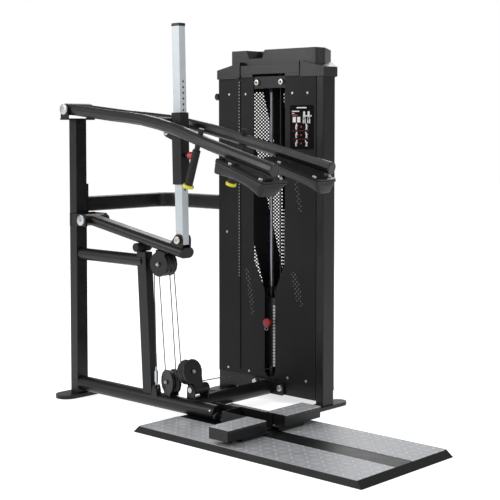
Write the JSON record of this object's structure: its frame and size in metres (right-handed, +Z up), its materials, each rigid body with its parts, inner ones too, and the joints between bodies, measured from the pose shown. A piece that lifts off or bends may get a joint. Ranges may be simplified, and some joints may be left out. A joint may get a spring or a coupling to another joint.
{
  "type": "calf raise machine",
  "caption": "Standing calf raise machine: shoulder pads on pivoting arms lift a cabled weight stack in a side tower, above a low step and platform.",
  "frame": {"origin": "on the floor under the centre of the rear post", "axes": "+X along the floor rail towards the platform, +Y across it towards the weight tower, +Z up"},
  "size_m": [2.094, 1.161, 1.8276],
  "materials": {
    "black_plastic": "moulded, fine grain",
    "black_sheet": "fine textured black powder coat",
    "black_steel": "satin black powder coat",
    "cable_coat": "nylon coat over wire rope",
    "checker_plate": "raised tread pattern",
    "chrome": "polished",
    "pad_vinyl": "smooth vinyl upholstery over foam",
    "placard_print": "printed sheet",
    "red_plastic": "moulded",
    "rubber": "matt",
    "silver_tube": "silver paint",
    "zinc": "zinc plated"
  },
  "bodies": {
    "frame": {"rear_post": "black_steel", "main_rail": "black_steel", "lever_post": "black_steel", "stop_bumper": "rubber", "brace": "black_steel", "cross_beam": "black_steel", "tower_base": "black_steel", "tower_upright_left": "black_steel", "tower_upright_right": "black_steel", "front_panel": "black_sheet", "back_cover": "black_sheet", "top_cap": "black_plastic", "placard": "placard_print", "guide_rod_left": "chrome", "guide_rod_right": "chrome", "stack_top_bracket": "black_steel", "lower_plates": "black_steel", "platform_base": "black_steel", "lane_near": "checker_plate", "lane_far": "checker_plate", "step_tread_near": "checker_plate", "step_tread_far": "checker_plate", "step_frame": "black_steel", "turnbuckle": "zinc", "lower_pulley_guard": "black_steel", "swivel_bolt": "zinc", "cable_anchor_strand": "cable_coat", "cable_down_strand": "cable_coat", "cable_up_strand": "cable_coat", "cable_swivel_strand": "cable_coat", "cable_lower_wrap": "cable_coat", "cable_tower_run": "cable_coat", "cable_stack_drop": "cable_coat"},
    "arm_shaft": {"arm_pivot_shaft": "zinc"},
    "arms": {"arm_frame": "black_steel", "pad_plate_near": "black_steel", "pad_plate_far": "black_steel", "shoulder_pad_near": "pad_vinyl", "shoulder_pad_far": "pad_vinyl", "grip_near": "rubber", "grip_far": "rubber"},
    "lever": {"lower_lever": "black_steel", "column_bolt": "zinc", "pulley_hanger": "black_steel", "cable_near_wrap": "cable_coat", "cable_far_wrap": "cable_coat"},
    "near_upper_wheel": {"near_upper_pulley": "black_plastic"},
    "far_upper_wheel": {"far_upper_pulley": "black_plastic"},
    "lower_wheel": {"lower_pulley": "black_plastic"},
    "swivel_wheel": {"swivel_pulley": "black_plastic"},
    "base_wheel": {"base_pulley": "black_plastic"},
    "top_wheel": {"top_pulley": "black_plastic"},
    "column": {"column": "silver_tube", "column_cap": "black_plastic"},
    "sleeve": {"sleeve": "black_steel"},
    "adjuster": {"adjuster_knob": "red_plastic"},
    "swivel": {"swivel_bracket": "black_steel", "cable_swivel_wrap": "cable_coat"},
    "lifted_stack": {"selector_head": "black_steel"},
    "stack_pin": {"selector_pin": "red_plastic"}
  },
  "joints": [
    {"name": "stack_lift", "type": "slide", "parent": "frame", "child": "lifted_stack", "axis": [0, 0, 1], "range_m": [0, 0.438], "deforming": ["cable_stack_drop"]},
    {"name": "lever_swing", "type": "hinge", "parent": "frame", "child": "lever", "pos_m": [0.116, 0, 0.895], "axis": [0, -1, 0], "range_deg": [0, 12], "deforming": ["cable_anchor_strand", "cable_down_strand", "cable_up_strand", "cable_swivel_strand"]},
    {"name": "arm_swing", "type": "hinge", "parent": "frame", "child": "arm_shaft", "pos_m": [0, 0, 1.439], "axis": [0, -1, 0], "range_deg": [0, 11.4]},
    {"name": "height_adjust", "type": "hinge", "parent": "arm_shaft", "child": "arms", "pos_m": [0, 0, 1.439], "axis": [0, -1, 0], "range_deg": [0, 20]},
    {"name": "column_swing", "type": "hinge", "parent": "lever", "child": "column", "pos_m": [0.74999, 0, 0.83498], "axis": [0, -1, 0], "range_deg": [-13.2, 0]},
    {"name": "sleeve_slide", "type": "slide", "parent": "column", "child": "sleeve", "axis": [-0.0238, 0, 0.9997], "range_m": [0, 0.2378]},
    {"name": "swivel_turn", "type": "hinge", "parent": "frame", "child": "swivel", "pos_m": [0.788, 0, 0.14], "axis": [0, 1, 0], "range_deg": [0, 4]},
    {"name": "near_upper_spin", "type": "hinge", "parent": "lever", "child": "near_upper_wheel", "pos_m": [0.62397, -0.014, 0.71398], "axis": [0, -1, 0], "range_deg": [0, 110]},
    {"name": "far_upper_spin", "type": "hinge", "parent": "lever", "child": "far_upper_wheel", "pos_m": [0.62397, 0.014, 0.71398], "axis": [0, -1, 0], "range_deg": [0, 353.6]},
    {"name": "lower_spin", "type": "hinge", "parent": "frame", "child": "lower_wheel", "pos_m": [0.672, 0, 0.1655], "axis": [-0.2622, -0.965, 0], "range_deg": [0, 243.8]},
    {"name": "swivel_spin", "type": "hinge", "parent": "swivel", "child": "swivel_wheel", "pos_m": [0.77207, 0.022, 0.22197], "axis": [-0.9816, 0, -0.1908], "range_deg": [0, 487.4]},
    {"name": "base_spin", "type": "hinge", "parent": "frame", "child": "base_wheel", "pos_m": [0.773, 0.762, 0.2035], "axis": [-1, 0, 0], "range_deg": [0, 487.4]},
    {"name": "top_spin", "type": "hinge", "parent": "frame", "child": "top_wheel", "pos_m": [0.773, 0.734, 1.62], "axis": [-1, 0, 0], "range_deg": [0, 317.8]},
    {"name": "pin_pull", "type": "slide", "parent": "lifted_stack", "child": "stack_pin", "axis": [0, -1, 0], "range_m": [0, 0.08]},
    {"name": "knob_pull", "type": "slide", "parent": "sleeve", "child": "adjuster", "axis": [0.9997, 0, 0.0238], "range_m": [0, 0.012], "stiffness_N_per_m": 600}
  ],
  "couplings": [
    {"joint": "lever_swing", "follows": "stack_lift", "rad_per_m": 0.47785},
    {"joint": "arm_swing", "follows": "stack_lift", "rad_per_m": 0.45045},
    {"joint": "column_swing", "follows": "stack_lift", "rad_per_m": -0.52524},
    {"joint": "swivel_turn", "follows": "stack_lift", "rad_per_m": 0.1561},
    {"joint": "near_upper_spin", "follows": "stack_lift", "rad_per_m": 4.376},
    {"joint": "far_upper_spin", "follows": "stack_lift", "rad_per_m": 14.085},
    {"joint": "lower_spin", "follows": "stack_lift", "rad_per_m": 9.709},
    {"joint": "swivel_spin", "follows": "stack_lift", "rad_per_m": 19.417},
    {"joint": "base_spin", "follows": "stack_lift", "rad_per_m": 19.417},
    {"joint": "top_spin", "follows": "stack_lift", "rad_per_m": 12.658},
    {"joint": "sleeve_slide", "follows": "height_adjust", "m_per_rad": 0.68}
  ]
}
